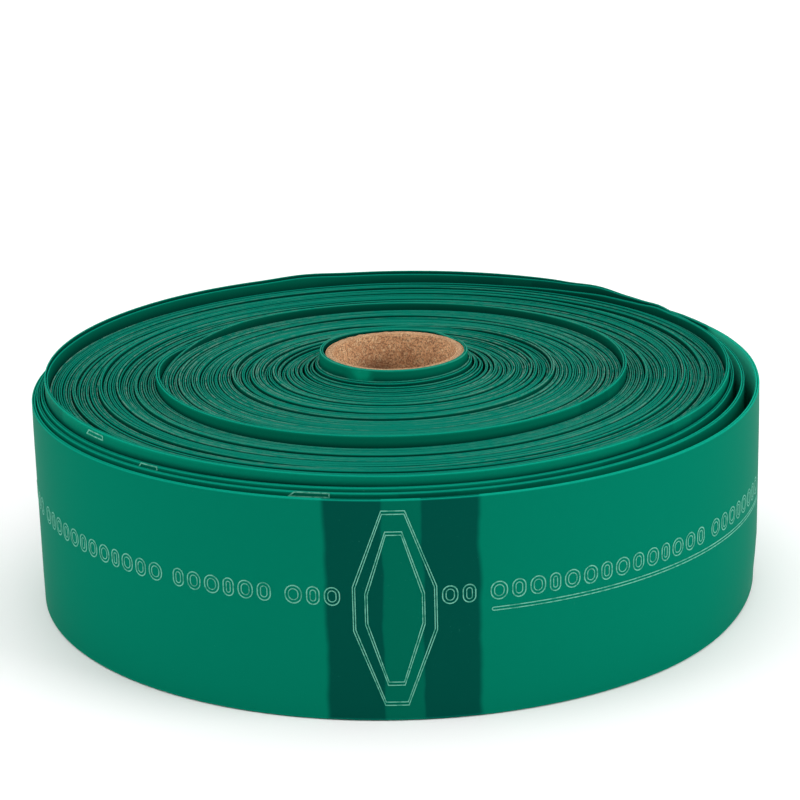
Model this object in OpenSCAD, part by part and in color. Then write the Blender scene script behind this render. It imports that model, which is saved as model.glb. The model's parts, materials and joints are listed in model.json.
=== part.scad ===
// A roll of tubular resistance band, welded across at equal spaces into a chain of loops.
// The band is flat-wound on a cardboard core. Its free end is one whole loop, which peels
// off the roll and opens into a diamond as its two plies part.

/* [Band] */
// Width of the band, which is the height of every turn
band_w = 54; // [50:1:60]
// Thickness of one ply of the flat tube
ply_t = 0.45; // [0.4:0.05:0.5]
// Space between the two plies of the outermost turn
ply_gap = 0.3; // [0.3:0.05:0.35]
// Distance along the band from one welded seal to the next
loop_pitch = 200; // [190:1:205]
// Length of the band that one seal takes up, both of its bars and the gap between them
seal_len = 36; // [34:1:40]
// Length of each weld bar
bar_len = 13.5; // [10:0.5:14]
// Length of the rounded apex of an open loop
apex_len = 16; // [12:1:20]

/* [Roll] */
// Outside radius of the roll
roll_r = 94; // [90:1:98]
// Direction of the seal that faces the front, in degrees from +X
front_seal_at = 271.5; // [265:0.5:275]
// Play between the outermost turn and the turn under it
loose_gap = 0.52; // [0.5:0.02:0.6]
// How far the core and the innermost turn stand out of the roll
core_lift = 7; // [5:0.5:8]
// How far each wide group of turns stands out, from the core outwards
wound_lift = [2.4, 1.8, 1.5, 1, 0]; // [0:0.1:3]
// How far each single raised turn stands out, from the core outwards
raised_lift = [3, 2.8, 4, 2.2]; // [0:0.1:5]
// How far each turn of the raised rim stands out, from the inside outwards
rim_lift = [4.8, 1.8, 0.8]; // [0:0.1:6]

/* [Core] */
// Radius of the hole through the core
core_bore_r = 16; // [15:0.25:18]
// Thickness of the smooth paper on each face of the core
core_paper_t = 0.3; // [0.2:0.05:0.4]
// Thickness of the wound board between those papers
core_board_t = 1.4; // [1:0.1:1.8]
// Thickness of the tape that holds the band's inner end
tape_t = 0.3; // [0.2:0.05:0.4]
// Angle around the core that the tape covers
tape_angle = 70; // [40:5:120]
// Width of the tape along the core
tape_w = 48; // [40:1:50]

/* [Hinges] */
// Width of the clearance at each line where the band flexes
hinge_gap = 0.8; // [0.7:0.05:1]
// Height that the free loop hangs above the base plane
tail_lift = 0.5; // [0.3:0.1:1]

/* [Hidden] */
$fn = 180;

band_green = "#00795c";
proud_green = "#00966e";
weld_green = "#004a3e";
kraft = "#b08764";
tape_cream = "#d8cba4";

// Radii of the core's layers, from the hole outwards
board_r = core_bore_r + core_paper_t;
wrap_r = board_r + core_board_t;
core_r = wrap_r + core_paper_t;
wound_r = core_r + tape_t;

// The turns inside the outermost one share the space up to it equally
group_turns = [12, 6, 15, 10, 13];
inner_turns = 64;
outer_turn_t = 2 * ply_t + ply_gap;
outer_turn_r = roll_r - outer_turn_t;
turn_pitch = (outer_turn_r - loose_gap - wound_r) / inner_turns;

// Inner radius of each ply of the outermost turn, and of the weld between them
inner_ply_r = outer_turn_r;
weld_r = inner_ply_r + ply_t;
outer_ply_r = weld_r + ply_gap;

// Angles that lengths of band take up on the outermost turn
leg_len = (loop_pitch - seal_len - apex_len) / 4;
leg_angle = arc_angle(leg_len);
apex_angle = arc_angle(apex_len);
half_seal_angle = arc_angle(seal_len / 2);
bar_angle = arc_angle(bar_len);
hinge_angle = arc_angle(hinge_gap);
root_seal_at = front_seal_at - arc_angle(loop_pitch);
root_hinge_at = root_seal_at - half_seal_angle;

// Directions of the hinge lines, clockwise from the root of the free loop to its end seal
hinge_at = [root_hinge_at,
            root_hinge_at - leg_angle,
            root_hinge_at - 2 * leg_angle,
            root_hinge_at - 2 * leg_angle - apex_angle,
            root_hinge_at - 3 * leg_angle - apex_angle,
            root_hinge_at - 4 * leg_angle - apex_angle];
apex_mid_at = (hinge_at[2] + hinge_at[3]) / 2;
free_end_at = hinge_at[5] - half_seal_angle;

// Angle that a length of band takes up on the outside of the roll
function arc_angle(length) = length / roll_r * 180 / PI;

// Radius at which a turn starts, counted from the core
function turn_r(n) = wound_r + n * turn_pitch;

// Number of turns under wide group g, with the collar and one raised turn between groups
function turns_under(g) = g == 0 ? 1 : turns_under(g - 1) + group_turns[g - 1] + 1;

// A full ring between two radii
module ring(r_in, r_out, z, h) {
    rotate_extrude()
        translate([r_in, z])
            square([r_out - r_in, h]);
}

// A curved wall between two radii and two directions
module wall(r_in, r_out, from, to, z, h) {
    rotate([0, 0, from])
        rotate_extrude(angle = to - from)
            translate([r_in, z])
                square([r_out - r_in, h]);
}

// A run of turns that stands out of the roll by lift
module turns(first, count, lift) {
    ring(turn_r(first), turn_r(first + count), lift, band_w);
}

// Wide group g of turns, and the single raised turn that lies on it
module wound_group(g) {
    color(band_green)
        turns(turns_under(g), group_turns[g], wound_lift[g]);
}

module raised_turn(g) {
    color(proud_green)
        turns(turns_under(g) + group_turns[g], 1, raised_lift[g]);
}

// Turn i of the raised rim, from the inside outwards
module rim_turn(i) {
    color(proud_green)
        turns(inner_turns - 3 + i, 1, rim_lift[i]);
}

// One ply of the free loop between two hinge lines
module tail_ply(r_in, from, to) {
    color(band_green)
        wall(r_in, r_in + ply_t, to + hinge_angle / 2, from - hinge_angle / 2, tail_lift, band_w);
}

module back_ply(i) {
    tail_ply(inner_ply_r, hinge_at[i], hinge_at[i + 1]);
}

module front_ply(i) {
    tail_ply(outer_ply_r, hinge_at[i], hinge_at[i + 1]);
}

// The two weld bars of a seal, between the plies
module weld_bars(centre) {
    for (side = [-1, 1]) {
        edge = centre + side * half_seal_angle;
        inner = edge - side * bar_angle;
        color(weld_green)
            wall(weld_r, outer_ply_r, min(edge, inner), max(edge, inner), 0, band_w);
    }
}

// The outermost turn, from the root of the free loop round to under its free end
module outer_turn(r_in) {
    color(band_green)
        wall(r_in, r_in + ply_t, root_hinge_at + hinge_angle / 2, free_end_at + 360 - hinge_angle, 0, band_w);
}

module core_liner() {
    color(kraft)
        ring(core_bore_r, board_r, core_lift, band_w);
}

module core_tube() {
    color(kraft)
        ring(board_r, wrap_r, core_lift, band_w);
}

module core_wrap() {
    color(kraft)
        ring(wrap_r, core_r, core_lift, band_w);
}

module starter_tape() {
    color(tape_cream)
        wall(core_r, wound_r, 0, tape_angle, core_lift + (band_w - tape_w) / 2, tape_w);
}

module inner_collar_turn() {
    color(proud_green)
        turns(0, 1, core_lift);
}

module wound_turns_a() { wound_group(0); }
module raised_turn_a() { raised_turn(0); }
module wound_turns_b() { wound_group(1); }
module raised_turn_b() { raised_turn(1); }
module wound_turns_c() { wound_group(2); }
module raised_turn_c() { raised_turn(2); }
module wound_turns_d() { wound_group(3); }
module raised_turn_d() { raised_turn(3); }
module wound_turns_e() { wound_group(4); }
module rim_turn_inner() { rim_turn(0); }
module rim_turn_middle() { rim_turn(1); }
module rim_turn_outer() { rim_turn(2); }
module outer_turn_inner_ply() { outer_turn(inner_ply_r); }
module outer_turn_outer_ply() { outer_turn(outer_ply_r); }
module front_weld_bars() { weld_bars(front_seal_at); }
module root_weld_bars() { weld_bars(root_seal_at); }
module back_leg_1() { back_ply(0); }
module back_leg_2() { back_ply(1); }
module back_apex() { back_ply(2); }
module back_leg_3() { back_ply(3); }
module back_leg_4() { back_ply(4); }
module front_leg_1() { front_ply(0); }
module front_leg_2() { front_ply(1); }
module front_apex_1() { tail_ply(outer_ply_r, hinge_at[2], apex_mid_at); }
module front_apex_2() { tail_ply(outer_ply_r, apex_mid_at, hinge_at[3]); }
module front_leg_3() { front_ply(3); }
module front_leg_4() { front_ply(4); }

// Half a seal, cut through its middle: one weld bar, then two loose lips with a slot between
module end_seal() {
    start = hinge_at[5] - hinge_angle / 2;
    weld_end = hinge_at[5] - bar_angle;
    color(weld_green)
        difference() {
            wall(inner_ply_r, roll_r, free_end_at, start, tail_lift, band_w);
            wall(weld_r, outer_ply_r, free_end_at - hinge_angle, weld_end, 0, band_w + 2 * tail_lift);
        }
}

core_liner();
core_tube();
core_wrap();
starter_tape();
inner_collar_turn();
wound_turns_a();
raised_turn_a();
wound_turns_b();
raised_turn_b();
wound_turns_c();
raised_turn_c();
wound_turns_d();
raised_turn_d();
wound_turns_e();
rim_turn_inner();
rim_turn_middle();
rim_turn_outer();
outer_turn_inner_ply();
outer_turn_outer_ply();
front_weld_bars();
root_weld_bars();
back_leg_1();
back_leg_2();
back_apex();
back_leg_3();
back_leg_4();
front_leg_1();
front_leg_2();
front_apex_1();
front_apex_2();
front_leg_3();
front_leg_4();
end_seal();
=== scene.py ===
"""Looks for a roll of looped resistance band, built around its CAD frame.

Lengths in this script are millimetres unless a name says otherwise, and MM turns them into
metres. Places along the band are turns: 0 is the band's free end, and the count grows as the
band winds inwards, counter-clockwise seen from above, until it meets the core.
"""

import json
import math

import bmesh
import bpy
import numpy as np
from mathutils import Euler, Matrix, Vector


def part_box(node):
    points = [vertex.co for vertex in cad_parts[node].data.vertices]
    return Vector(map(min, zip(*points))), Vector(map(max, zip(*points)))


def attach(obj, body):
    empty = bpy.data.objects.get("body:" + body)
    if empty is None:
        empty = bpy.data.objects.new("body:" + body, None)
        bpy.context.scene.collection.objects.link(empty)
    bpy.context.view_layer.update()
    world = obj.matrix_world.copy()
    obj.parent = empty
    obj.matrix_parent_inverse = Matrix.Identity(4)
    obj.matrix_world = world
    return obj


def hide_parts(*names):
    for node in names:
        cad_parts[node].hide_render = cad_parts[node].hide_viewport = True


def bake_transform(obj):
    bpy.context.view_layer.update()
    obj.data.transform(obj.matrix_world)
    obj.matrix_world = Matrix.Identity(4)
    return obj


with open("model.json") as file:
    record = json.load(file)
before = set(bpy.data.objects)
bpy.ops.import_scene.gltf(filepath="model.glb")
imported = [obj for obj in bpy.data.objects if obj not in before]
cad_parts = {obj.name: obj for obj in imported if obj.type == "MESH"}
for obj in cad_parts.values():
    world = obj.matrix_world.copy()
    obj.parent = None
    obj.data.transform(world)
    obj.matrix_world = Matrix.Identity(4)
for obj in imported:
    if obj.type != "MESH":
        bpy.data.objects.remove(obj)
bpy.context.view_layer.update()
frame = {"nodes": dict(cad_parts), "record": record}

MM = 0.001


# ---- sizes read from the frame


def ring_reach(node):
    """Outer radius of a node that is a ring about the Z axis, or an arc of one that crosses +X."""
    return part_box(node)[1].x / MM


def joint_place(child):
    """Where the hinge line of a body's own joint stands: (direction in degrees, radius)."""
    joint = next(j for j in frame["record"]["behaviour"]["joints"] if j["child"] == child)
    x, y = joint["pos_m"][:2]
    return math.degrees(math.atan2(y, x)) % 360, math.hypot(x, y) / MM


# The rim's outer turn lies this much further out than its CAD ring
RIM_PROUD = 0.15

ROLL_R = ring_reach("outer_turn_outer_ply")
RIM_R = ring_reach("rim_turn_outer") + RIM_PROUD
CORE_R = ring_reach("core_wrap")
BAND_W = (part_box("outer_turn_outer_ply")[1].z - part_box("outer_turn_outer_ply")[0].z) / MM
BORE_R = next(m for m in frame["record"]["mounts"] if m["name"] == "core_bore")["dims"]["r_mm"]
CORE_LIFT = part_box("core_tube")[0].z / MM
TAIL_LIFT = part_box("back_leg_1")[0].z / MM

# The band: a seal is two weld bars with a gap between, and the plies are thinner where wound tightly
LOOP_PITCH = 200.0
SEAL_HALF = 18.0
SEAL_GAP_HALF = 4.5
PLY_T = 0.45
WOUND_PLY_T = 0.37
TURNS = 65

# Directions of the free loop's hinge lines, from the root to the end seal, and its plies' radii
HINGED = ("front_leg_1", "back_leg_2", "back_apex", "back_leg_3", "back_leg_4", "end_seal")
HINGES = [joint_place(body)[0] for body in HINGED]
ROOT_HINGE, SEAL_HINGE = HINGES[0], HINGES[-1]
OUTER_MID = joint_place("front_leg_1")[1]
INNER_MID = joint_place("back_leg_1")[1]
FREE_END = SEAL_HINGE - math.degrees(SEAL_HALF / ROLL_R)

# The spiral inside the outermost turn, with a little space between its plies and next to the core
CORE_SPACE = 0.9
WOUND_GAP = 0.1
PITCH = (RIM_R - CORE_R - CORE_SPACE - 2 * WOUND_PLY_T - WOUND_GAP) / (TURNS - 1)
WOUND_PLY_STEP = WOUND_PLY_T + WOUND_GAP
# Plies and their step grow by this much at the front, where the pack lies fuller
FRONT_FULLNESS = 0.06
# Turns over which the outermost one comes in to the pack's radius, to pass under the free end
DIVE = (0.930, 0.998)

# The pack isn't quite round: (direction in degrees, half width, radial shift, radius where it starts)
UNROUND = [(-14.0, 62.0, -2.2, 66.0), (-8.0, 80.0, -0.8, 40.0), (190.0, 120.0, 0.72, 30.0)]
# Each shift is full this much further out, and the pack's outer turns take it up over these turns: a
# bulge in one stretch, and a hollow in stretches of (first turn, last turn, share)
UNROUND_FULL = 24.0
BULGE_TAKEN_UP = (1.0, 1.3)
HOLLOW_TAKEN_UP = [(0.9, 1.6, 0.45), (2.0, 2.35, 0.55)]
# Turns over which the uneven play between plies starts and stops
PLAY_STARTS = (4.0, 5.0)
PLAY_STOPS = (TURNS - 3, TURNS - 2)

# How far turns stand out of the roll: (turn, lift) pairs, joined by straight slopes
LEVELS = [
    (0.0, 0.0), (0.84, 0.0), (0.90, 0.4), (0.97, 1.8), (1.01, 2.0), (1.10, 0.7), (1.93, 0.9), (2.05, 1.7),
    (2.92, 1.8), (2.97, 2.2), (3.09, 4.6), (3.30, 5.3), (3.50, 5.5), (3.68, 4.2), (3.80, 4.6), (3.95, 4.0),
    (4.12, 1.5), (8.0, 1.2), (16.0, 1.4), (30.0, 1.3), (44.0, 1.7), (52.0, 2.1), (60.0, 2.3), (62.0, 2.7),
    (63.0, 3.6), (63.6, 4.3), (63.95, 4.9), (64.08, 7.4), (64.22, 7.5), (64.36, 8.0), (64.46, 7.9),
    (64.6, 7.5), (65.0, 7.4),
]
# Single turns that ride up: (first turn, last turn, height at the sides, share of it at the front)
RAISED = [
    (9.35, 10.3, 0.9, 0.6), (14.6, 15.7, 1.1, 0.6), (19.2, 20.0, 0.9, 0.5), (23.4, 24.2, 0.6, 0.5),
    (28.30, 29.42, 2.9, 1.0), (35.5, 36.3, 0.6, 0.5), (45.1, 46.2, 1.4, 0.5), (49.2, 49.9, 0.5, 0.5),
    (53.9, 55.0, 1.2, 0.5), (58.3, 59.1, 0.6, 0.6),
]
# They rise and fall over this part of a turn, and this share of their height is left at the back
RAISED_EASE, BACK_SHARE = 0.14, 0.7
# Places where the rim's inner turn buckles upwards: (direction in degrees, half width, height)
BUCKLES = [(50.5, 7.0, 0.6), (35.0, 5.0, 0.45), (108.0, 9.0, 0.45)]
# A span of turns with soft ends is (first turn, last turn, ease), which hump takes
BUCKLED_SPAN = (2.9, 4.1, 0.1)


# ---- shape of the spiral


def smooth(t):
    t = np.clip(t, 0.0, 1.0)
    return t * t * (3 - 2 * t)


def ramp(x, low, high):
    return smooth((x - low) / (high - low))


def hump(x, low, high, ease):
    """1 between low and high, falling to 0 inside each end over ease."""
    return ramp(x, low, low + ease) * (1 - ramp(x, high - ease, high))


def turn_at(direction):
    """The turn, in the outermost one, at a direction in degrees."""
    return ((direction - FREE_END) % 360) / 360


def direction_of(turn):
    return FREE_END + 360 * turn


def away_from(direction, centre):
    """How far a direction is from another, in degrees."""
    return np.abs((direction - centre + 180) % 360 - 180)


def at_front(turn):
    """1 where a turn faces the front, falling to 0 at the sides."""
    return np.maximum(-np.sin(np.radians(direction_of(turn))), 0)


def polar(radius, angle, height):
    return radius * math.cos(angle), radius * math.sin(angle), height


def run_of(turn):
    """Length of band from the free end to a turn."""
    inner = np.maximum(turn - 1, 0)
    return 2 * np.pi * (ROLL_R * np.minimum(turn, 1) + RIM_R * inner - PITCH * inner**2 / 2)


def taken_up(turn, size):
    """Share of a bulge or hollow of the pack that a turn follows."""
    if size > 0:
        return ramp(turn, *BULGE_TAKEN_UP)
    return sum(share * ramp(turn, first, last) for first, last, share in HOLLOW_TAKEN_UP)


def ply_radius(turn, ply):
    """Middle radius of a ply, 0 for the outer one and 1 for the inner one."""
    ply_step = WOUND_PLY_STEP + FRONT_FULLNESS * at_front(turn)
    packed = RIM_R - PITCH * np.maximum(turn - 1, 0) - WOUND_PLY_T / 2 - ply * ply_step
    direction = direction_of(turn)
    shift = 0.0
    for centre, half, size, start in UNROUND:
        near = smooth(1 - away_from(direction, centre) / half)
        shift = shift + size * near * ramp(packed, start, start + UNROUND_FULL) * taken_up(turn, size)
    play = between_turns(PLAY, turn, ply) * ramp(turn, *PLAY_STARTS) * (1 - ramp(turn, *PLAY_STOPS))
    packed = packed + shift + play
    loose = INNER_MID if ply else OUTER_MID
    return loose + (packed - loose) * ramp(turn, *DIVE)


def ply_thickness(turn):
    wound = WOUND_PLY_T + FRONT_FULLNESS * at_front(turn)
    return PLY_T + (wound - PLY_T) * ramp(turn, *DIVE)


# Typical sizes of the unevenness: of one ply, of a whole turn, of its slow drift, of a ply's waves
PLY_UNEVEN, TURN_UNEVEN, DRIFT_UNEVEN, WAVE_UNEVEN = 0.10, 0.24, 0.50, 0.10
# Turns that the drift is averaged over, waves in each ply, and the most radial play
DRIFT_SPAN, WAVES, MOST_PLAY = 5, 3, 0.07


def make_ripples():
    """Seeded unevenness of each ply of each turn: heights, waves, radial play and dustiness."""
    rng = np.random.default_rng(20)
    rows = TURNS + 3
    shift = rng.normal(0, PLY_UNEVEN, (rows, 2)) + rng.normal(0, TURN_UNEVEN, (rows, 1))
    steps = rng.normal(0, DRIFT_UNEVEN, rows + DRIFT_SPAN - 1)
    drift = np.convolve(steps, np.ones(DRIFT_SPAN) / DRIFT_SPAN, mode="valid")
    size = np.abs(rng.normal(0, WAVE_UNEVEN, (rows, 2, WAVES)))
    phase = rng.uniform(0, 2 * np.pi, (rows, 2, WAVES))
    play = rng.uniform(-MOST_PLAY, MOST_PLAY, (rows, 2))
    ash = rng.uniform(0, 1, (rows, 2)) ** 2
    return shift, drift, size, phase, play, ash


SHIFT, DRIFT, SIZE, PHASE, PLAY, ASH = make_ripples()


def between_turns(table, turn, ply=None):
    """A value that each whole turn has, passed on smoothly to the next one in its last tenth."""
    whole = np.floor(turn).astype(int)
    share = ramp(turn - whole, 0.9, 1.0)
    values = table if ply is None else table[:, ply]
    return values[whole] * (1 - share) + values[whole + 1] * share


# Where the pack's full unevenness starts, and the share of it that the rim's turns have
PACK_UNEVEN_FROM = (3.9, 4.6)
RIM_UNEVEN = 0.18
RIM_SPAN = (1.0, 4.3, 0.2)
# How much the unevenness dies down at the front, at the back and in the collar
CALM_FRONT, CALM_BACK, CALM_COLLAR = 0.65, 0.2, 0.85
COLLAR_STARTS = (TURNS - 3, TURNS - 1.2)
# On the slope outside the last turn, the inner ply of each turn stands this much above the outer one
SLOPE_STEP = 0.35
SLOPE_STARTS, SLOPE_STOPS = (TURNS - 6, TURNS - 3), (TURNS - 1.1, TURNS - 1)
# Behind, the inner ply of the rim's inner turn has slipped down
SLIP = 0.9
SLIPPED_SPAN = (3.02, 3.5, 0.12)


def unevenness(turn, ply):
    """A ply's seeded rise and fall, before it dies down."""
    uneven = between_turns(SHIFT, turn, ply) + between_turns(DRIFT, turn)
    for wave in range(WAVES):
        phase = between_turns(PHASE[..., wave], turn, ply)
        swing = np.sin(np.radians(direction_of(turn)) * (wave + 1) + phase)
        uneven = uneven + between_turns(SIZE[..., wave], turn, ply) * swing
    return uneven


def lift(turn, ply):
    """How far a ply stands out of the roll."""
    turns, heights = zip(*LEVELS)
    direction = direction_of(turn)
    front = at_front(turn)
    back = np.maximum(np.sin(np.radians(direction)), 0)
    level = np.interp(turn, turns, heights)
    for first, last, height, front_share in RAISED:
        share = 1 - (1 - front_share) * front - (1 - BACK_SHARE) * back
        level = level + height * share * hump(turn, first, last, RAISED_EASE)
    for centre, half, height in BUCKLES:
        near = smooth(1 - away_from(direction, centre) / half)
        level = level + hump(turn, *BUCKLED_SPAN) * height * near
    stepped = SLOPE_STEP * ply * (ramp(turn, *SLOPE_STARTS) * (1 - ramp(turn, *SLOPE_STOPS)))
    slipped = -SLIP * ply * hump(turn, *SLIPPED_SPAN)
    in_pack = ramp(turn, *PACK_UNEVEN_FROM) + RIM_UNEVEN * hump(turn, *RIM_SPAN)
    collar = ramp(turn, *COLLAR_STARTS)
    settled = (1 - CALM_FRONT * front - CALM_BACK * back) * (1 - CALM_COLLAR * collar)
    return level + stepped + slipped + unevenness(turn, ply) * in_pack * settled


# How light faces are painted: painted shade on a face between turns, and the plain outermost face
DEEP, PLAIN = 0.1, 0.5
# A face is fully free where it stands this far above its neighbour
FREE_HEIGHT = 2.6
FREE_CURVE = 0.9
# Painted light that a free face gains: looking outwards, looking at the core, beside an open gap, and on
# the rim
FREE_OUTWARDS, FREE_INWARDS, BESIDE_GAP, ON_RIM = 0.57, 0.26, 1.2, 0.14
# Painted shade on the outermost turn's inner face, before what an open gap adds
OUTERMOST_INSIDE = 0.24
RIM_FADES, GAP_FADES = (2.7, 3.0), (2.0, 2.3)
# Widths from which a gap between turns opens up, and heights over which painted light reaches down it
GAP_OPENS = (0.3, 1.2)
GAP_LIT = (BAND_W - 24, BAND_W - 2)
# A soft painted highlight on the collar: its span of turns, the heights where it starts and stops, its
# size
HIGHLIGHT_SPAN = (TURNS - 0.43, TURNS - 0.37, 0.02)
HIGHLIGHT_STARTS, HIGHLIGHT_STOPS = (3.6, 4.6), (6.7, 7.4)
HIGHLIGHT = 0.6
# Turns over which the outermost face passes on to the wound ones
WOUND_FROM = (0.96, 1.02)


def painted_lightness(turn, ply, rise, side):
    """How light the band is painted, for painted shade and painted light: DEEP between turns, up to about
    1 where a ply stands free, and more beside an open gap, standing in for light through the band, with a
    painted highlight on the collar. side is 1 on the face that looks outwards, and -1 on the other one."""
    top = lift(turn, ply) + rise - BAND_W
    if ply == 0:
        outside, inside = lift(np.maximum(turn - 1, 0), 1), lift(turn, 1)
    else:
        outside, inside = lift(turn, 0), lift(np.minimum(turn + 1, TURNS), 0)
    free_out = np.clip((top - outside) / FREE_HEIGHT, 0, 1)
    free_in = np.clip((top - inside) / FREE_HEIGHT, 0, 1)
    rim = ON_RIM * (1 - ramp(turn, *RIM_FADES))
    outwards = DEEP + rim + FREE_OUTWARDS * free_out**FREE_CURVE
    stand_off = ply_radius(turn, 1) - ply_radius(np.minimum(turn + 1, TURNS), 0) - PLY_T
    open_gap = ramp(stand_off, *GAP_OPENS) * ramp(rise, *GAP_LIT)
    beside_gap = BESIDE_GAP * ply * open_gap * (1 - ramp(turn, *GAP_FADES))
    inwards = DEEP + FREE_INWARDS * free_in + beside_gap
    share = (side + 1) / 2
    on_collar = hump(turn, *HIGHLIGHT_SPAN)
    lit_collar = on_collar * ramp(top, *HIGHLIGHT_STARTS) * (1 - ramp(top, *HIGHLIGHT_STOPS))
    wound = outwards * share + inwards * (1 - share) + HIGHLIGHT * lit_collar * share
    outermost = PLAIN * share + (OUTERMOST_INSIDE + BESIDE_GAP * open_gap) * (1 - share)
    return outermost + (wound - outermost) * ramp(turn, *WOUND_FROM)


# ---- strips of band

# A ply's edge is chamfered: how far down its sides start, its flat's share of the thickness, and how
# far that flat is from the full width
EDGE_ROUND, EDGE_FLAT, EDGE_IN = 0.2, 0.6, 0.04


def section(side_rises):
    """A ply's outline: (offset across its thickness from -1 to 1, height above its lower edge)."""
    round_top, flat_top = BAND_W - EDGE_ROUND, BAND_W - EDGE_IN
    inner = [(-1, rise) for rise in side_rises]
    outer = [(1, rise) for rise in reversed(side_rises)]
    return np.array([
        (-EDGE_FLAT, EDGE_IN), (-1, EDGE_ROUND), *inner,
        (-1, round_top), (-EDGE_FLAT, flat_top), (EDGE_FLAT, flat_top), (1, round_top),
        *outer, (1, EDGE_ROUND), (EDGE_FLAT, EDGE_IN),
    ])


# Points up a ply's sides: few where it is hidden, and more where it shows
PLAIN_SECTION = section([0.7, *(BAND_W - depth for depth in (3.0, 1.5, 0.6))])
PROUD_SECTION = section([0.7, *(BAND_W - depth for depth in (8, 5.5, 4, 2.8, 1.6, 0.6))])
FACE_SECTION = section([0.7, 3, 8, 14, 20, 26, 32, 38, 43, 47, 50, 52.2, BAND_W - 0.6])


# Depths of the outermost turn's dents: over its whole face, at its top edge and at its foot
FACE_DENT, EDGE_DENT, FOOT_DENT = 0.07, 0.10, 0.09
# How far from its top and from its foot the band bends on its own
UPPER_EDGE, LOWER_EDGE = 9, 7
# At the right the outermost turn's foot is tucked under: how far, up to what height, and where
TUCK, TUCK_HEIGHT = 0.95, 14
TUCKED_SPAN = (0.79, 0.96, 0.08)


def face_waves(run, rise):
    """Gentle dents of the outermost turn, of lengths that don't fall in step."""
    face = np.sin(run / 47 + 0.6) * np.sin(rise / 17 + run / 160) * FACE_DENT
    edge = ramp(rise, BAND_W - UPPER_EDGE, BAND_W) * np.sin(run / 23) * EDGE_DENT
    foot = (1 - ramp(rise, 0, LOWER_EDGE)) * np.sin(run / 31 + 2) * FOOT_DENT
    turn = run / (2 * np.pi * ROLL_R)
    tucked = TUCK * (1 - ramp(rise, 0, TUCK_HEIGHT)) * hump(turn, *TUCKED_SPAN)
    return face + edge + foot - tucked


# How far the outermost plies close up at the top, between which heights, and where that stops
PLIES_CLOSE = 0.2
CLOSING_HEIGHTS = (BAND_W - 7, BAND_W - 1)
CLOSING_STOPS = (0.93, 0.99)
# How far the collar leans on the core, where that starts, and over how many turns it grows
COLLAR_LEAN = 0.95
COLLAR_LEANS_FROM, COLLAR_LEANS_OVER = TURNS - 4.5, 3.5


def lean(turn, ply, rise):
    """Radial lean of the upper part: the outermost plies close up, and the collar hugs the core."""
    closed = PLIES_CLOSE * ply * ramp(rise, *CLOSING_HEIGHTS) * (1 - ramp(turn, *CLOSING_STOPS))
    inward = COLLAR_LEAN * np.clip((turn - COLLAR_LEANS_FROM) / COLLAR_LEANS_OVER, 0, 1)
    return closed - inward * ramp(rise, BAND_W - UPPER_EDGE, BAND_W)


# The free loop comes down off its clearance over this many degrees past the root hinge
TAIL_EASE = 12
# Distances in the pattern's space that set plies and turns apart
PLY_APART, TURN_APART = 7, 13
# Bloom on the wound turns' edges: where it starts, its least, and what the sides add to that
ASH_STARTS = (4.0, 4.4)
ASH_LEAST, ASH_SIDES = 0.12, 0.88
# How much fainter the weld bars are inside the roll, and where they get so and fade out
WELD_FAINTER = 0.62
WELD_FAINTER_FROM, WELD_FADES = (0.97, 1.03), (58, 63)


def strip_arrays(turns, ply, outline, dents=None, tail=False):
    """Points, band places and edge facts of one ply over the given turns. A place is (run, rise, depth),
    and the facts are its painted light and shade, its bloom and the strength of its welds."""
    turn = turns[:, None]
    rise = outline[None, :, 1] + 0 * turn
    side = outline[None, :, 0] + 0 * turn
    offset = side * ply_thickness(turn) / 2
    run = run_of(turn) + 0 * rise
    dent = dents(run, rise) if dents else 0.0
    radius = ply_radius(turn, ply) + offset + dent + lean(turn, ply, rise)
    if tail:
        height = TAIL_LIFT * (1 - ramp(turn, turn_at(ROOT_HINGE), turn_at(ROOT_HINGE + TAIL_EASE)))
    else:
        height = lift(turn, ply)
    angle = np.radians(direction_of(turn))
    points = np.stack([radius * np.cos(angle), radius * np.sin(angle), height + rise], axis=-1)
    apart = ply * PLY_APART + np.floor(turn) * TURN_APART
    places = np.stack([run, rise, offset + apart], axis=-1)
    # The painted light and shade of each point, plain on the free loop
    light = PLAIN + 0 * rise if tail else painted_lightness(turn, ply, rise, side)
    at_side = ASH_LEAST + ASH_SIDES * np.abs(np.cos(angle))
    ash = between_turns(ASH, turn, ply) * at_side * ramp(turn, *ASH_STARTS) + 0 * rise
    fainter = 1 - WELD_FAINTER * ramp(turn, *WELD_FAINTER_FROM)
    weld = fainter * (1 - ramp(turn, *WELD_FADES)) + 0 * rise
    facts = np.stack([light, ash, weld], axis=-1)
    return points, places, facts


def tube_faces(stations, around, first=0, joined=False):
    """Quads round a section swept over stations, with a cap on each end unless the ends are joined."""
    faces = []
    for i in range(stations if joined else stations - 1):
        here, there = first + i * around, first + (i + 1) % stations * around
        for j in range(around):
            k = (j + 1) % around
            faces.append((here + j, here + k, there + k, there + j))
    if not joined:
        last = first + (stations - 1) * around
        faces.append(tuple(first + j for j in reversed(range(around))))
        faces.append(tuple(last + j for j in range(around)))
    return faces


def add_object(name, data):
    obj = bpy.data.objects.new(name, data)
    bpy.context.scene.collection.objects.link(obj)
    return obj


def new_object(name, points, faces, material, smooth_shaded=True):
    """A mesh object from points in millimetres."""
    mesh = bpy.data.meshes.new(name)
    mesh.from_pydata((np.asarray(points).reshape(-1, 3) * MM).tolist(), [], faces)
    mesh.validate()
    mesh.polygons.foreach_set("use_smooth", [smooth_shaded] * len(mesh.polygons))
    mesh.materials.append(material)
    return add_object(name, mesh)


def store(obj, name, values):
    attribute = obj.data.attributes.new(name, "FLOAT_VECTOR", "POINT")
    attribute.data.foreach_set("vector", np.asarray(values, np.float32).reshape(-1))


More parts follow.
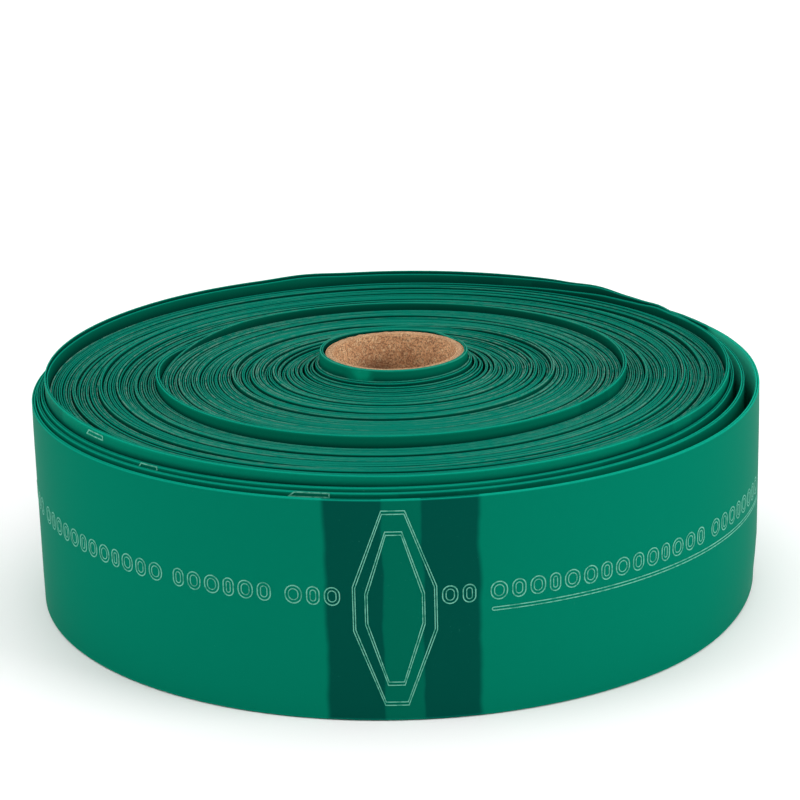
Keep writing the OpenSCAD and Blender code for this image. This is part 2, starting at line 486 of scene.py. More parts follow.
def strips(name, plies):
    """One object of band from several plies, each given as what strip_arrays returns."""
    points, places, facts, faces = [], [], [], []
    count = 0
    for ply_points, ply_places, ply_facts in plies:
        stations, around = ply_points.shape[:2]
        faces += tube_faces(stations, around, count)
        count += stations * around
        points.append(ply_points.reshape(-1, 3))
        places.append(ply_places.reshape(-1, 3))
        facts.append(ply_facts.reshape(-1, 3))
    obj = new_object(name, np.concatenate(points), faces, BAND)
    store(obj, "band_place", np.concatenate(places))
    store(obj, "edge_facts", np.concatenate(facts))
    crease_caps(obj)
    return obj


def crease_caps(obj):
    """Marks the rims of the end caps sharp, so that the sides shade as if they ran on."""
    sharp = obj.data.attributes.new("sharp_edge", "BOOLEAN", "EDGE")
    edges = {edge.key: edge.index for edge in obj.data.edges}
    marks = np.zeros(len(obj.data.edges), bool)
    for face in obj.data.polygons:
        if len(face.vertices) > 4:
            for key in face.edge_keys:
                marks[edges[key]] = True
    sharp.data.foreach_set("value", marks)


def turns_between(first, last, step):
    """Turns from first to last, about a step in millimetres of band apart."""
    count = max(4, int(abs(run_of(last) - run_of(first)) / step))
    return np.linspace(first, last, count + 1)


# ---- materials


class Nodes:
    """A short way to write a material's node tree."""

    def __init__(self, name):
        self.material = bpy.data.materials.new(name)
        self.material.use_nodes = True
        self.tree = self.material.node_tree
        self.shader = self.tree.nodes["Principled BSDF"]

    def add(self, kind, inputs=None, **settings):
        node = self.tree.nodes.new("ShaderNode" + kind)
        for key, value in settings.items():
            setattr(node, key, value)
        for key, value in (inputs or {}).items():
            self.put(node.inputs[key], value)
        return node

    def put(self, socket, value):
        if isinstance(value, bpy.types.NodeSocket):
            self.tree.links.new(value, socket)
        else:
            socket.default_value = value

    def math(self, operation, *values, clamp=False):
        node = self.add("Math", operation=operation, use_clamp=clamp)
        for i, value in enumerate(values):
            self.put(node.inputs[i], value)
        return node.outputs[0]

    def span(self, value, low, high, out_low=0.0, out_high=1.0):
        """Smoothly takes low..high to out_low..out_high."""
        inputs = {"Value": value, "From Min": low, "From Max": high, "To Min": out_low, "To Max": out_high}
        return self.add("MapRange", inputs, interpolation_type="SMOOTHSTEP").outputs["Result"]

    def noise(self, vector, scale, detail=3.0, roughness=0.5):
        inputs = {"Vector": vector, "Scale": scale, "Detail": detail, "Roughness": roughness}
        return self.add("TexNoise", inputs).outputs["Fac"]

    def mix(self, share, first, second):
        """Mixes two colours. The node's colour sockets are 6 and 7, and its colour result is 2."""
        node = self.add("Mix", data_type="RGBA")
        for key, value in ((0, share), (6, first), (7, second)):
            if isinstance(value, tuple):
                value = (*value, 1.0)
            self.put(node.inputs[key], value)
        return node.outputs[2]

    def over(self, colour, paint, where, strength):
        """Lays paint over a colour, as strongly as strength times where says."""
        return self.mix(self.math("MULTIPLY", where, strength), colour, paint)

    def stretch(self, vector, scale):
        inputs = {"Vector": vector, "Scale": scale}
        return self.add("Mapping", inputs).outputs["Vector"]

    def place(self):
        return self.add("TexCoord").outputs["Object"]

    def attribute(self, name):
        return self.add("Attribute", attribute_name=name, attribute_type="GEOMETRY").outputs["Vector"]

    def surface(self, colour, roughness, gloss=0.5):
        self.put(self.shader.inputs["Base Color"], colour)
        self.put(self.shader.inputs["Roughness"], roughness)
        self.put(self.shader.inputs["Specular IOR Level"], gloss)

    def relief(self, height, strength, distance=0.0003):
        bump = self.add("Bump", {"Height": height, "Strength": strength, "Distance": distance})
        self.put(self.shader.inputs["Normal"], bump.outputs[0])


GREEN = (0.0004, 0.178, 0.108)
# A shaded copy of the green for painted shade, and two lit copies for painted light
GREEN_PAINTED_SHADE = (0.0002, 0.034, 0.024)
GREEN_PAINTED_LIGHT = (0.0012, 0.335, 0.200)
GREEN_LIT = (0.060, 0.850, 0.580)
WELD_GREEN = (0.0004, 0.062, 0.046)
GAP_GREEN = (0.0004, 0.108, 0.068)
# A lit green for painted light on the plies' edges
EDGE_PAINTED_LIGHT = (0.004, 0.355, 0.240)
ASH_GREEN = (0.138, 0.272, 0.215)
BLOOM = (0.060, 0.330, 0.220)
PRINT = (0.130, 0.480, 0.350)
PRINT_WORN = (0.03, 0.30, 0.20)
BAND_GLOSS = 0.002
# Softness of a weld bar's inner and outer edges, and how far they wander
BAR_SOFT_IN, BAR_SOFT_OUT, BAR_WANDER = 0.5, 0.8, 1.1


def weld_pattern(n, place, run, weld):
    """Where the nearest seal's bars are, and the gap between them, with slightly wandering edges."""
    wobble = n.noise(n.stretch(place, (0.02, 0.075, 0.0)), 1.0, 2.0)
    wander = n.math("MULTIPLY_ADD", wobble, 2 * BAR_WANDER, -BAR_WANDER)
    along = n.math("ADD", run, wander)
    nearest = n.math("PINGPONG", along, LOOP_PITCH / 2)
    gap_edge = (SEAL_GAP_HALF - BAR_SOFT_IN, SEAL_GAP_HALF + BAR_SOFT_IN)
    past_gap = n.span(nearest, *gap_edge)
    before_end = n.span(nearest, SEAL_HALF + BAR_SOFT_OUT, SEAL_HALF - BAR_SOFT_OUT)
    bar = n.math("MULTIPLY", n.math("MULTIPLY", past_gap, before_end), weld)
    gap = n.math("MULTIPLY", n.span(nearest, *reversed(gap_edge)), weld)
    return bar, gap


def band_colour(n, light, tone, bar, gap):
    """Green by how light it is painted, from painted shade to painted light, darker at the weld bars."""
    level = n.math("ADD", light, tone)
    colour = n.mix(n.span(level, 0.0, PLAIN), GREEN_PAINTED_SHADE, GREEN)
    colour = n.mix(n.span(level, PLAIN, 1.0), colour, GREEN_PAINTED_LIGHT)
    colour = n.mix(n.span(level, 1.0, 1.5), colour, GREEN_LIT)
    colour = n.over(colour, GAP_GREEN, gap, 0.75)
    return n.over(colour, WELD_GREEN, bar, 0.93)


def paint_edge_light(n, colour, rise, light):
    """Painted light on the rounded edges, standing in for light that comes through them, stronger where
    the band is painted lighter. Says where the top edge is, too.
    """
    top_edge = n.span(rise, BAND_W - 0.42, BAND_W - 0.12)
    through = n.math("MULTIPLY_ADD", light, 0.36, 0.37, clamp=True)
    colour = n.over(colour, EDGE_PAINTED_LIGHT, top_edge, through)
    low_edge = n.span(rise, 0.7, 0.1)
    return n.over(colour, EDGE_PAINTED_LIGHT, low_edge, 0.3), top_edge


def powdered(n, colour, place, ash, top_edge):
    """Powdery bloom: dusty top edges on some turns, and fine specks everywhere."""
    dust = n.noise(n.stretch(place, (0.35, 1.2, 1.0)), 1.0, 3.0, 0.7)
    dusty = n.math("MULTIPLY", n.math("MULTIPLY", ash, top_edge), n.span(dust, 0.35, 0.65))
    colour = n.over(colour, ASH_GREEN, dusty, 0.85)
    speck = n.noise(n.stretch(place, (1.6, 1.6, 1.0)), 1.0, 2.0, 0.5)
    powder = n.noise(n.stretch(place, (0.05, 0.05, 0.3)), 1.0, 3.0, 0.6)
    bloom = n.math("MULTIPLY", n.span(speck, 0.66, 0.80), n.span(powder, 0.40, 0.70))
    return n.over(colour, BLOOM, bloom, 0.20), bloom


def band_material():
    """Satin elastomer: weld bars from the place along the band, and painted light where it stands free,
    painted shade where it is hidden.
    """
    n = Nodes("band_elastomer")
    place, facts = n.attribute("band_place"), n.attribute("edge_facts")
    run, rise, _ = n.add("SeparateXYZ", {0: place}).outputs
    # light is the painted light and shade, ash the bloom, weld the welds' strength
    light, ash, weld = n.add("SeparateXYZ", {0: facts}).outputs
    bar, gap = weld_pattern(n, place, run, weld)
    cloud = n.noise(n.stretch(place, (0.012, 0.022, 0.5)), 1.0, 4.0, 0.55)
    streak = n.noise(n.stretch(place, (0.006, 1.1, 0.5)), 1.0, 3.0, 0.6)
    tone = n.math("ADD", n.math("MULTIPLY", cloud, 0.8), n.math("MULTIPLY", streak, 0.2))
    tone = n.span(tone, 0.3, 0.7, -0.03, 0.03)
    colour = band_colour(n, light, tone, bar, gap)
    colour, top_edge = paint_edge_light(n, colour, rise, light)
    colour, bloom = powdered(n, colour, place, ash, top_edge)
    rough = n.math("MULTIPLY_ADD", cloud, 0.16, 0.30)
    rough = n.math("MULTIPLY_ADD", bloom, 0.2, rough)
    n.surface(colour, n.math("MULTIPLY_ADD", ash, 0.1, rough), BAND_GLOSS)
    grain = n.noise(n.stretch(place, (0.9, 1.4, 1.0)), 1.0, 4.0, 0.6)
    height = n.math("ADD", n.math("MULTIPLY", streak, 0.4), n.math("MULTIPLY", grain, 0.2))
    n.relief(height, 0.10, 0.0002)
    return n.material


def weld_material():
    """The fused filling of a seal, seen only at its edges."""
    n = Nodes("weld_elastomer")
    place = n.place()
    cloud = n.noise(place, 160.0, 4.0)
    n.surface(n.mix(cloud, WELD_GREEN, GAP_GREEN), n.span(cloud, 0.3, 0.7, 0.35, 0.5), BAND_GLOSS)
    n.relief(n.noise(place, 900.0), 0.1, 0.0002)
    return n.material


def print_material():
    """Pale, slightly broken ink."""
    n = Nodes("print_ink")
    place = n.place()
    worn = n.span(n.noise(place, 700.0, 3.0, 0.6), 0.36, 0.56)
    n.surface(n.mix(worn, PRINT_WORN, PRINT), n.span(worn, 0.0, 1.0, 0.45, 0.62), 0.3)
    return n.material


# Browns of the core: pale fibres, dark specks, the seam, painted shade in the bore and the cut lip
FIBRE, SPECK = (1.0, 0.78, 0.47), (0.27, 0.125, 0.066)
SEAM, BORE_SHADE, LIP = (0.12, 0.06, 0.03), (0.075, 0.034, 0.019), (0.30, 0.17, 0.085)
CORE_TOP = CORE_LIFT + BAND_W
# How far the seam climbs in a turn, and the middle of the painted shade along X
SEAM_CLIMB, BORE_SHADE_AT = 52, -5.5


def board_material(name, light, dark, depth):
    """Recycled board or kraft paper: fibres, specks, a spiral seam, and painted shade down the bore."""
    n = Nodes(name)
    place = n.place()
    x, y, z = n.add("SeparateXYZ", {0: place}).outputs
    around = n.math("ARCTAN2", y, x)
    fibre = n.noise(n.stretch(place, (1.0, 1.0, 0.7)), 1500.0, 4.0, 0.75)
    blotch = n.noise(place, 210.0, 4.0, 0.6)
    colour = n.mix(n.span(blotch, 0.34, 0.66), dark, light)
    colour = n.over(colour, FIBRE, n.span(fibre, 0.5, 0.62), 0.8)
    speck = n.noise(place, 1900.0, 4.0, 0.85)
    colour = n.over(colour, SPECK, n.span(speck, 0.48, 0.56), 0.85)
    # One spiral seam climbs the tube, a strip's width at each turn round it
    climb = n.math("MULTIPLY_ADD", z, 1 / (SEAM_CLIMB * MM), n.math("MULTIPLY", around, 1 / (2 * math.pi)))
    seam = n.span(n.math("PINGPONG", climb, 0.5), 0.012, 0.0)
    colour = n.over(colour, SEAM, seam, 0.55)
    # Painted shade darkens the colour down the bore, most a little left of the middle
    deep = n.span(z, (CORE_TOP - 3) * MM, (CORE_TOP - 12) * MM)
    aside = n.math("ABSOLUTE", n.math("ADD", x, -BORE_SHADE_AT * MM))
    painted_shade = n.math("MULTIPLY", deep, n.span(aside, 1.0 * MM, 9.0 * MM, 0.88, 0.22))
    colour = n.mix(painted_shade, colour, BORE_SHADE)
    lip = n.span(z, (CORE_TOP - 0.7) * MM, (CORE_TOP - 0.1) * MM)
    colour = n.over(colour, LIP, lip, 0.45)
    n.surface(colour, n.span(fibre, 0.3, 0.7, 0.78, 0.95), 0.2)
    n.relief(n.math("SUBTRACT", fibre, n.math("MULTIPLY", seam, 0.8)), depth)
    return n.material


TAPE_LIGHT, TAPE_DARK = (0.74, 0.66, 0.48), (0.55, 0.46, 0.30)
FLOOR_LIGHT, FLOOR_DARK = (0.96, 0.96, 0.96), (0.94, 0.94, 0.94)


def tape_material():
    """Creped paper tape."""
    n = Nodes("tape_paper")
    place = n.place()
    crepe = n.noise(n.stretch(place, (1.0, 1.0, 6.0)), 420.0, 3.0, 0.6)
    n.surface(n.mix(crepe, TAPE_DARK, TAPE_LIGHT), n.span(crepe, 0.3, 0.7, 0.7, 0.9))
    n.relief(crepe, 0.4)
    return n.material


def floor_material():
    n = Nodes("floor_paint")
    place = n.place()
    n.surface(n.mix(n.noise(place, 3.0), FLOOR_DARK, FLOOR_LIGHT), 0.8)
    return n.material


BAND = band_material()
WELD = weld_material()
INK = print_material()
BOARD = board_material("core_board", (0.62, 0.370, 0.205), (0.44, 0.250, 0.130), 0.6)
KRAFT = board_material("core_kraft", (0.95, 0.57, 0.300), (0.72, 0.39, 0.195), 0.35)
TAPE = tape_material()


# ---- the wound turns

# (piece, the CAD node that it stands for, first turn, last turn, whether it stands proud)
PACK = [
    ("rim_outer_turn", "rim_turn_outer", 1, 2, True),
    ("rim_middle_turn", "rim_turn_middle", 2, 3, True),
    ("rim_inner_turn", "rim_turn_inner", 3, 4, True),
    ("wound_band_e", "wound_turns_e", 4, 17, False),
    ("raised_band_d", "raised_turn_d", 17, 18, True),
    ("wound_band_d", "wound_turns_d", 18, 28, False),
    ("raised_band_c", "raised_turn_c", 28, 30, True),
    ("wound_band_c", "wound_turns_c", 30, 44, False),
    ("raised_band_b", "raised_turn_b", 44, 46, True),
    ("wound_band_b", "wound_turns_b", 46, 51, False),
    ("raised_band_a", "raised_turn_a", 51, 52, True),
    ("wound_band_a", "wound_turns_a", 52, 63, False),
    ("collar_band", "inner_collar_turn", 63, 65, True),
]
PACK_STEP = 2.4


def wind_pack():
    for name, node, first, last, proud in PACK:
        outline = PROUD_SECTION if proud else PLAIN_SECTION
        turns = turns_between(first, last, PACK_STEP)
        plies = [strip_arrays(turns, ply, outline) for ply in (0, 1)]
        obj = strips(name, plies)
        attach(obj, "root")
        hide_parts(node)


# ---- the outermost turn

FACE_STEP = 1.2
# The outermost turn's fixed part starts this far past the root hinge, in degrees
FACE_OVERLAP = math.degrees(9.0 / ROLL_R)


def wind_outermost():
    """The fixed part of the outermost turn: both plies, with the weld bars' own CAD between."""
    turns = turns_between(turn_at(ROOT_HINGE + FACE_OVERLAP), 1.0, FACE_STEP)
    rows = [("outer_turn_front", "outer_turn_outer_ply"), ("outer_turn_back", "outer_turn_inner_ply")]
    for ply, (name, node) in enumerate(rows):
        obj = strips(name, [strip_arrays(turns, ply, FACE_SECTION, face_waves)])
        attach(obj, "root")
        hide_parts(node)


# ---- the free loop

TAIL_STEP = 0.7
# Where the last lengths of the plies end, as a share of the way from the cut to the seal's hinge line
SEAL_SHARE = 0.62
# How far a bend goes before and after its hinge line
LEG_REACH, APEX_REACH, SEAL_REACH = (18.0, 18.0), (6.5, 6.5), (6.0, 0.6)
# The lengths of each ply, from the root outwards, one for each hinge line:
# (name, reach of its bend, bodies on either side of the hinge line, nodes that it stands for)
BACK_LENGTHS = [
    ("loop_back_root", (0.6, 7.0), ("root", "back_leg_1"), ["back_leg_1"]),
    ("loop_back_leg_a", LEG_REACH, ("back_leg_1", "back_leg_2"), ["back_leg_2"]),
    ("loop_back_apex_a", APEX_REACH, ("back_leg_2", "back_apex"), ["back_apex"]),
    ("loop_back_apex_b", APEX_REACH, ("back_apex", "back_leg_3"), []),
    ("loop_back_leg_b", LEG_REACH, ("back_leg_3", "back_leg_4"), ["back_leg_3"]),
    ("loop_back_end", SEAL_REACH, ("back_leg_4", "end_seal"), ["back_leg_4"]),
]
FRONT_LENGTHS = [
    ("loop_front_root", (0.6, 9.0), ("root", "front_leg_1"), ["front_leg_1"]),
    ("loop_front_leg_a", LEG_REACH, ("front_leg_1", "front_leg_2"), ["front_leg_2"]),
    ("loop_front_apex_a", APEX_REACH, ("front_leg_2", "front_apex_1"), ["front_apex_1"]),
    ("loop_front_apex_b", APEX_REACH, ("front_apex_2", "front_leg_3"), ["front_apex_2"]),
    ("loop_front_leg_b", LEG_REACH, ("front_leg_3", "front_leg_4"), ["front_leg_3"]),
    ("loop_front_end", SEAL_REACH, ("front_leg_4", "end_seal"), ["front_leg_4"]),
]


def loop_piece(name, ply, limits, nodes):
    """A length of one ply across a hinge line, between limits that run clockwise, outwards."""
    turns = turns_between(turn_at(limits[1]), turn_at(limits[0]), TAIL_STEP)
    obj = strips(name, [strip_arrays(turns, ply, FACE_SECTION, face_waves, tail=True)])
    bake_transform(obj)
    if nodes:
        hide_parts(*nodes)


def build_free_loop():
    """Both plies of the last loop and its end seal. Their lengths meet midway between hinge lines."""
    middles = [(here + there) / 2 for here, there in zip(HINGES, HINGES[1:])]
    seal = FREE_END + SEAL_SHARE * (SEAL_HINGE - FREE_END)
    limits = [ROOT_HINGE + FACE_OVERLAP, *middles, seal]
    for ply, lengths in ((1, BACK_LENGTHS), (0, FRONT_LENGTHS)):
        for i, (name, reach, bodies, nodes) in enumerate(lengths):
            loop_piece(name, ply, limits[i:i + 2], nodes)
    build_end_seal(seal)


# How far the cut end stands off, over what length, and how much more at its corners
FLARE, FLARE_LENGTH, FLARE_CORNERS = 0.35, 9, 0.6


def end_flare(run, rise):
    """The cut end stands off a little, more at its corners."""
    corner = 1 + FLARE_CORNERS * np.abs(rise / BAND_W - 0.5)
    return FLARE * (1 - ramp(run, 0, FLARE_LENGTH)) * corner + face_waves(run, rise)


# The end seal's bar stops this far short of the hinge line
BAR_SHORT = 0.4


def build_end_seal(inner_limit):
    """The plies of the end seal up to the cut, and the weld bar between them."""
    turns = turns_between(0.0, turn_at(inner_limit), TAIL_STEP)
    plies = [strip_arrays(turns, ply, FACE_SECTION, end_flare, tail=True) for ply in (0, 1)]
    obj = strips("end_seal_plies", plies)
    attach(obj, "end_seal")
    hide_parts("end_seal")
    bar_start = math.radians(FREE_END) + SEAL_GAP_HALF / ROLL_R
    bar_end = math.radians(SEAL_HINGE) - BAR_SHORT / ROLL_R
    filling = curved_block("end_seal_weld", bar_start, bar_end)
    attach(filling, "end_seal")


def curved_block(name, start, end):
    """The fused filling between the plies, a little short of their edges."""
    inset, half, rings = 0.5, 0.2, 16
    middle_r = (INNER_MID + OUTER_MID) / 2
    outline = [(-half, inset), (-half, BAND_W - inset), (half, BAND_W - inset), (half, inset)]
    angles = np.linspace(start, end, rings)
    points = [polar(middle_r + x, angle, z + TAIL_LIFT) for angle in angles for x, z in outline]
    return new_object(name, points, tube_faces(rings, len(outline)), WELD, smooth_shaded=False)


# ---- the print

# The ink's thickness above its base, and how far its sides go below that
INK_T, INK_SUNK = 0.05, 0.01
# How far that base stands out of the roll's radius at the front, and of the rim's turns
FACE_INK_OUT, RIM_INK_OUT = 0.03, 0.02
LINE_W = 0.22
# A sharp corner's mitre is at most 1 / SHARPEST of the line's half width
SHARPEST = 0.35


def line_sides(loop, width):
    """The two sides of a closed line of ink along loop, a list of (along, rise) points."""
    loop = np.asarray(loop, float)
    ahead, behind = np.roll(loop, -1, 0), np.roll(loop, 1, 0)
    way = (ahead - loop) / np.linalg.norm(ahead - loop, axis=1)[:, None]
    came = (loop - behind) / np.linalg.norm(loop - behind, axis=1)[:, None]
    side = np.stack([-(way + came)[:, 1], (way + came)[:, 0]], axis=1)
    side /= np.linalg.norm(side, axis=1)[:, None]
    square = np.clip(np.sum(side * np.stack([-way[:, 1], way[:, 0]], axis=1), axis=1), SHARPEST, 1)
    reach = side * (width / 2 / square)[:, None]
    return loop + reach, loop - reach


def dense(corners, step=1.0):
    """A closed run of points about a step apart."""
    points = []
    for here, there in zip(corners, corners[1:] + corners[:1]):
        count = max(1, int(math.dist(here, there) / step))
        points += [
            (here[0] + (there[0] - here[0]) * i / count, here[1] + (there[1] - here[1]) * i / count)
            for i in range(count)
        ]
    return points


def pill(left, right, low, high):
    """Points of a pill shape with round ends, without those that coincide."""
    radius, steps, least = min(high - low, right - left) / 2, 6, 0.02
    corners = []
    for cx, cy, start in (
        (right - radius, high - radius, 0),
        (left + radius, high - radius, 90),
        (left + radius, low + radius, 180),
        (right - radius, low + radius, 270),
    ):
        for i in range(steps + 1):
            a = math.radians(start + 90 * i / steps)
            corners.append((cx + radius * math.cos(a), cy + radius * math.sin(a)))
    return [c for c, d in zip(corners, corners[1:] + corners[:1]) if math.dist(c, d) > least]


def lozenge(centre, half_length, half_height):
    """A diamond whose four corners are cut flat."""
    nib = 0.28 * half_length
    x, y = centre
    return [
        (x - nib, y + half_height), (x + nib, y + half_height), (x + half_length, y + 2 * nib),
        (x + half_length, y - 2 * nib), (x + nib, y - half_height), (x - nib, y - half_height),
        (x - half_length, y - 2 * nib), (x - half_length, y + 2 * nib),
    ]


def ink_object(name, loops, place_on):
    """Closed lines of ink as one thin raised object. place_on maps (along, rise, height) to a point."""
    points, faces = [], []
    for loop, width in loops:
        left, right = line_sides(loop, width)
        first, count = len(points), len(loop)
        for height in (INK_T, -INK_SUNK):
            for row in (left, right):
                points += [place_on(s, rise, height) for s, rise in row]
        # The line's four long edges, in order round it: top left, top right, low right, low left
        edges = [first + ring * count for ring in (0, 1, 3, 2)]
        for i in range(count):
            k = (i + 1) % count
            faces += [(a + i, a + k, b + k, b + i) for a, b in zip(edges, edges[1:] + edges[:1])]
    obj = new_object(name, points, faces, INK, smooth_shaded=False)
    recalculate(obj)
    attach(obj, "root")


def recalculate(obj):
    """Turns every face of a closed mesh outwards."""
    work = bmesh.new()
    work.from_mesh(obj.data)
    bmesh.ops.recalc_face_normals(work, faces=work.faces[:])
    work.to_mesh(obj.data)
    work.free()


def on_face(along, rise, height):
    """A point on the outermost turn. along is measured to the right from the front, at -Y."""
    angle = math.radians(270) + along / ROLL_R
    run = ROLL_R * (angle - math.radians(FREE_END))
    radius = ROLL_R + FACE_INK_OUT + height + float(face_waves(run, rise))
    return polar(radius, angle, rise)


# Two rows of plain pill outlines, each a pair of lines: (where it starts, way it runs, pills by group)
ROWS = [(-12.0, -1, (3, 6, 12, 4)), (11.5, 1, (2, 14, 8))]
ROW_RISE = 30.6
PILL_WIDTHS = (3.5, 2.9, 3.9, 3.2, 3.6, 2.6, 3.8)
PILL_H, PILL_GAP, GROUP_GAP = 4.3, 1.25, 3.6
PILL_LINE_W, INNER_LINE_W, INNER_INSET = 0.26, 0.2, 0.8
# The line under the right-hand row: its start and end, its drop below the row, its height
UNDERLINE = (23.0, 128.0)
UNDERLINE_DROP, UNDERLINE_H = 1.9, 0.75
LOZENGE_AT = (0.6, 27.6)
# Two outlines, each a pair of fine lines: (half length, half height)
LOZENGE_SIZES = [(9.60, 23.80), (9.08, 23.00), (6.80, 18.80), (6.28, 18.00)]


def pill_row(start, way, groups, low, high):
    """Lines of one row of pills, outwards from start."""
    loops = []
    along, count = start, 0
    for group in groups:
        for _ in range(group):
            width = PILL_WIDTHS[count % len(PILL_WIDTHS)]
            left, right = sorted((along, along + way * width))
            inner = (left + INNER_INSET, right - INNER_INSET, low + INNER_INSET, high - INNER_INSET)
            loops.append((pill(left, right, low, high), PILL_LINE_W))
            loops.append((pill(*inner), INNER_LINE_W))
            along += way * (width + PILL_GAP)
            count += 1
        along += way * (GROUP_GAP - PILL_GAP)
    return loops


def print_front():
    loops = [(dense(lozenge(LOZENGE_AT, *size)), LINE_W) for size in LOZENGE_SIZES]
    low, high = ROW_RISE - PILL_H / 2, ROW_RISE + PILL_H / 2
    for start, way, groups in ROWS:
        loops += pill_row(start, way, groups, low, high)
    line_top = low - UNDERLINE_DROP
    loops.append((dense(pill(*UNDERLINE, line_top - UNDERLINE_H, line_top)), LINE_W))
    ink_object("print_front", loops, on_face)


# Bits of print on proud turns: (turn, direction, length, drop from the turn's top edge)
RIM_MARKS = [(3, 218.0, 7.4, 0.8), (2, 231.5, 6.0, 0.15), (1, 258.5, 9.5, 0.10)]
MARK_H, MARK_LINE_W, MARK_STEP = 1.1, 0.30, 0.8
# Length of a turn of the rim
RIM_LENGTH = 2 * math.pi * RIM_R


def on_turn(along, rise, height):
    """A point on the outside of the pack. along is turns times RIM_LENGTH."""
    turn = np.array(along / RIM_LENGTH)
    radius = float(ply_radius(turn, 0) + ply_thickness(turn) / 2) + RIM_INK_OUT + height
    angle = math.radians(float(direction_of(turn)))
    return polar(radius, angle, rise + float(lift(turn, 0)))


def print_rim_marks():
    """Uneven four-sided outlines along the top of turns that stand proud."""
    loops = []
    for whole, direction, length, drop in RIM_MARKS:
        turn = whole + turn_at(direction)
        half = length / 2 / RIM_LENGTH
        low, high = BAND_W - drop - MARK_H, BAND_W - drop
        before, after = turn - half, turn + half
        corners = [(before, low), (after, low + 0.1), (after, high), (turn - 0.7 * half, high)]
        drawn = dense([(place * RIM_LENGTH, rise) for place, rise in corners], MARK_STEP)
        loops.append((drawn, MARK_LINE_W))
    ink_object("print_rim_marks", loops, on_turn)


# ---- the core

AROUND_CORE = 360
# The ragged lip: its waves round the tube, the count at which they weaken, its depth and rounding
LIP_WAVES = range(2, 70)
LIP_WEAKENS = 14
LIP_REACH, LIP_ROUND = 0.9, 0.12


def ragged_lip(angles, fuzz, seed):
    """Heights of a lip round the tube, at most fuzz up or down."""
    rng = np.random.default_rng(seed)
    wave = sum(
        rng.normal(0, 1 / (1 + k / LIP_WEAKENS)) * np.sin(k * angles + rng.uniform(0, 2 * np.pi))
        for k in LIP_WAVES
    )
    return fuzz * wave / np.abs(wave).max()


def core_shell(name, node, r_in, r_out, material, fuzz, seed):
    """A paper tube with a slightly ragged, rounded lip at each end."""
    angles = np.linspace(0, 2 * np.pi, AROUND_CORE, endpoint=False)
    low, high = CORE_LIFT, CORE_TOP
    soft = min(LIP_ROUND, (r_out - r_in) / 3)
    rises = [low + soft, low + 1.0, high - 6, high - 1.0, high - soft]
    outline = [
        *((r_in, z) for z in rises), (r_in + soft, high), (r_out - soft, high),
        *((r_out, z) for z in reversed(rises)), (r_out - soft, low), (r_in + soft, low),
    ]
    points = []
    for angle, rag in zip(angles, ragged_lip(angles, fuzz, seed)):
        for radius, z in outline:
            end = smooth((z - high + LIP_REACH) / LIP_REACH) - smooth((low + LIP_REACH - z) / LIP_REACH)
            points.append(polar(radius, angle, z + rag * float(end)))
    obj = new_object(name, points, tube_faces(AROUND_CORE, len(outline), joined=True), material)
    recalculate(obj)
    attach(obj, "root")
    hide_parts(node)


def build_core():
    board_in, board_out = ring_reach("core_liner"), ring_reach("core_tube")
    core_shell("core_inner_paper", "core_liner", BORE_R, board_in, KRAFT, 0.10, 3)
    core_shell("core_board_tube", "core_tube", board_in, board_out, BOARD, 0.16, 4)
    core_shell("core_outer_paper", "core_wrap", board_out, CORE_R, KRAFT, 0.12, 5)


# ---- floor, light and camera


def build_stage():
    """A pale floor, a little below the roll so that their faces don't fight."""
    half, drop = 12.0, 0.0002
    mesh = bpy.data.meshes.new("floor")
    corners = [(-half, -half, 0), (half, -half, 0), (half, half, 0), (-half, half, 0)]
    mesh.from_pydata(corners, [], [(0, 1, 2, 3)])
    mesh.materials.append(floor_material())
    floor = add_object("floor", mesh)
    floor.location.z = -drop


def area_light(name, place, target, size, power):
    light = bpy.data.lights.new(name, "AREA")
    light.shape = "RECTANGLE"
    light.size, light.size_y = size
    light.energy = power
    obj = add_object(name, light)
    obj.location = place
    obj.rotation_euler = (Vector(target) - Vector(place)).to_track_quat("-Z", "Y").to_euler()


def build_world(light, seen):
    """A white studio that lights softly, and looks pale itself behind the floor."""
    world = bpy.data.worlds.new("studio")
    world.use_nodes = True
    tree = world.node_tree
    soft = tree.nodes["Background"]
    kinds = ("Background", "LightPath", "MixShader")
    pale, path, mix = (tree.nodes.new("ShaderNode" + kind) for kind in kinds)
    for background, strength, share in ((soft, light, mix.inputs[1]), (pale, seen, mix.inputs[2])):
        background.inputs["Color"].default_value = (1.0, 1.0, 1.0, 1.0)
        background.inputs["Strength"].default_value = strength
        tree.links.new(background.outputs["Background"], share)
    tree.links.new(path.outputs["Is Camera Ray"], mix.inputs["Fac"])
    tree.links.new(mix.outputs["Shader"], tree.nodes["World Output"].inputs["Surface"])
    bpy.context.scene.world = world


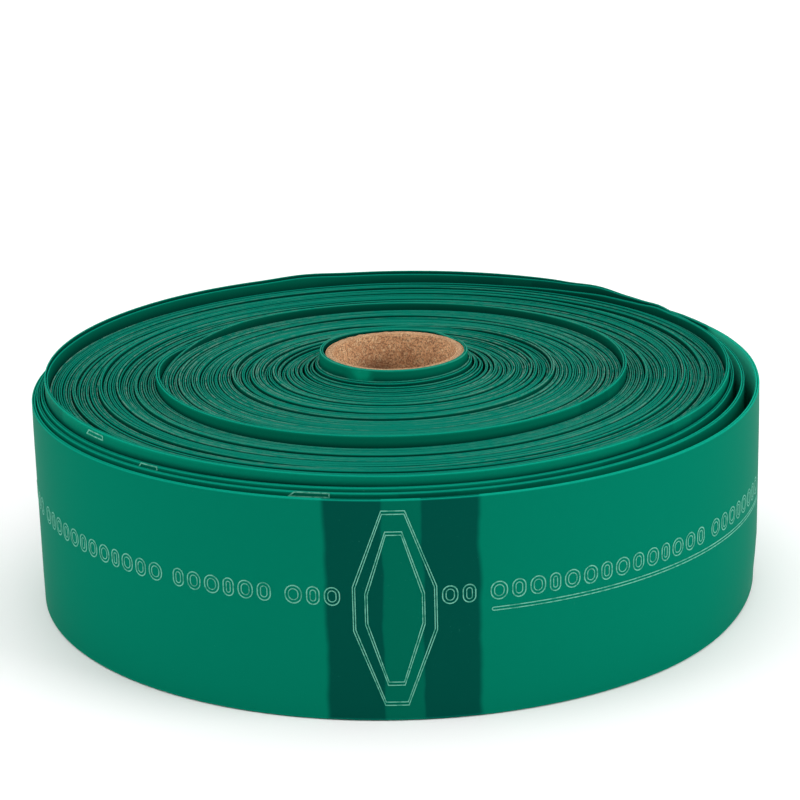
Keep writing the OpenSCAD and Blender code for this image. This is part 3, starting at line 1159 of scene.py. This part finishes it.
def build_lights():
    """A key light at the right, a fill at the left, a soft sun overhead, and a lit backdrop."""
    build_world(light=0.35, seen=0.9)
    target = (0, 0, 0.03)
    area_light("key", (1.15, -0.45, 0.75), target, (0.8, 0.8), 9.8)
    area_light("fill", (-1.15, -0.30, 0.60), target, (0.8, 0.9), 5.6)
    area_light("backdrop", (0, 2.6, 1.2), (0, 2.5, 0), (4.0, 2.0), 30.0)
    sky = bpy.data.lights.new("sky", "SUN")
    sky.energy, sky.angle = 1.7, math.radians(70)
    add_object("sky", sky)


# The camera's place round the middle of the roll's top, in metres, and its turn there
CAMERA_DISTANCE = 0.642
CAMERA_ELEVATION = math.radians(17.15)
CAMERA_AZIMUTH = math.radians(1.2)
CAMERA_PITCH = math.radians(17.70)
CAMERA_YAW = math.radians(-0.10)
CAMERA_ROLL = math.radians(-1.38)
CAMERA_LENS = 110.9


def build_camera():
    """Looks down at the roll's front, just below the middle of its top."""
    data = bpy.data.cameras.new("camera")
    data.lens = CAMERA_LENS
    camera = add_object("camera", data)
    turned = Euler((0, 0, CAMERA_AZIMUTH)).to_matrix()
    back = turned @ Vector((0, -math.cos(CAMERA_ELEVATION), math.sin(CAMERA_ELEVATION)))
    camera.location = Vector((0, 0, BAND_W * MM)) + back * CAMERA_DISTANCE
    look = Euler((math.pi / 2 - CAMERA_PITCH, 0, CAMERA_YAW)).to_matrix()
    roll = Euler((0, 0, CAMERA_ROLL)).to_matrix()
    camera.rotation_euler = (turned @ look @ roll).to_euler()
    bpy.context.scene.camera = camera


def paint_frame():
    """Gives the CAD nodes that stay in view their materials."""
    for node, material in (("front_weld_bars", WELD), ("root_weld_bars", WELD), ("starter_tape", TAPE)):
        mesh = frame["nodes"][node]
        if not mesh.material_slots:
            mesh.data.materials.append(material)
        for slot in mesh.material_slots:
            slot.material = material


build_camera()
build_lights()
build_stage()
paint_frame()
build_core()
wind_pack()
wind_outermost()
build_free_loop()
print_front()
print_rim_marks()
bpy.context.scene.view_settings.view_transform = "Standard"
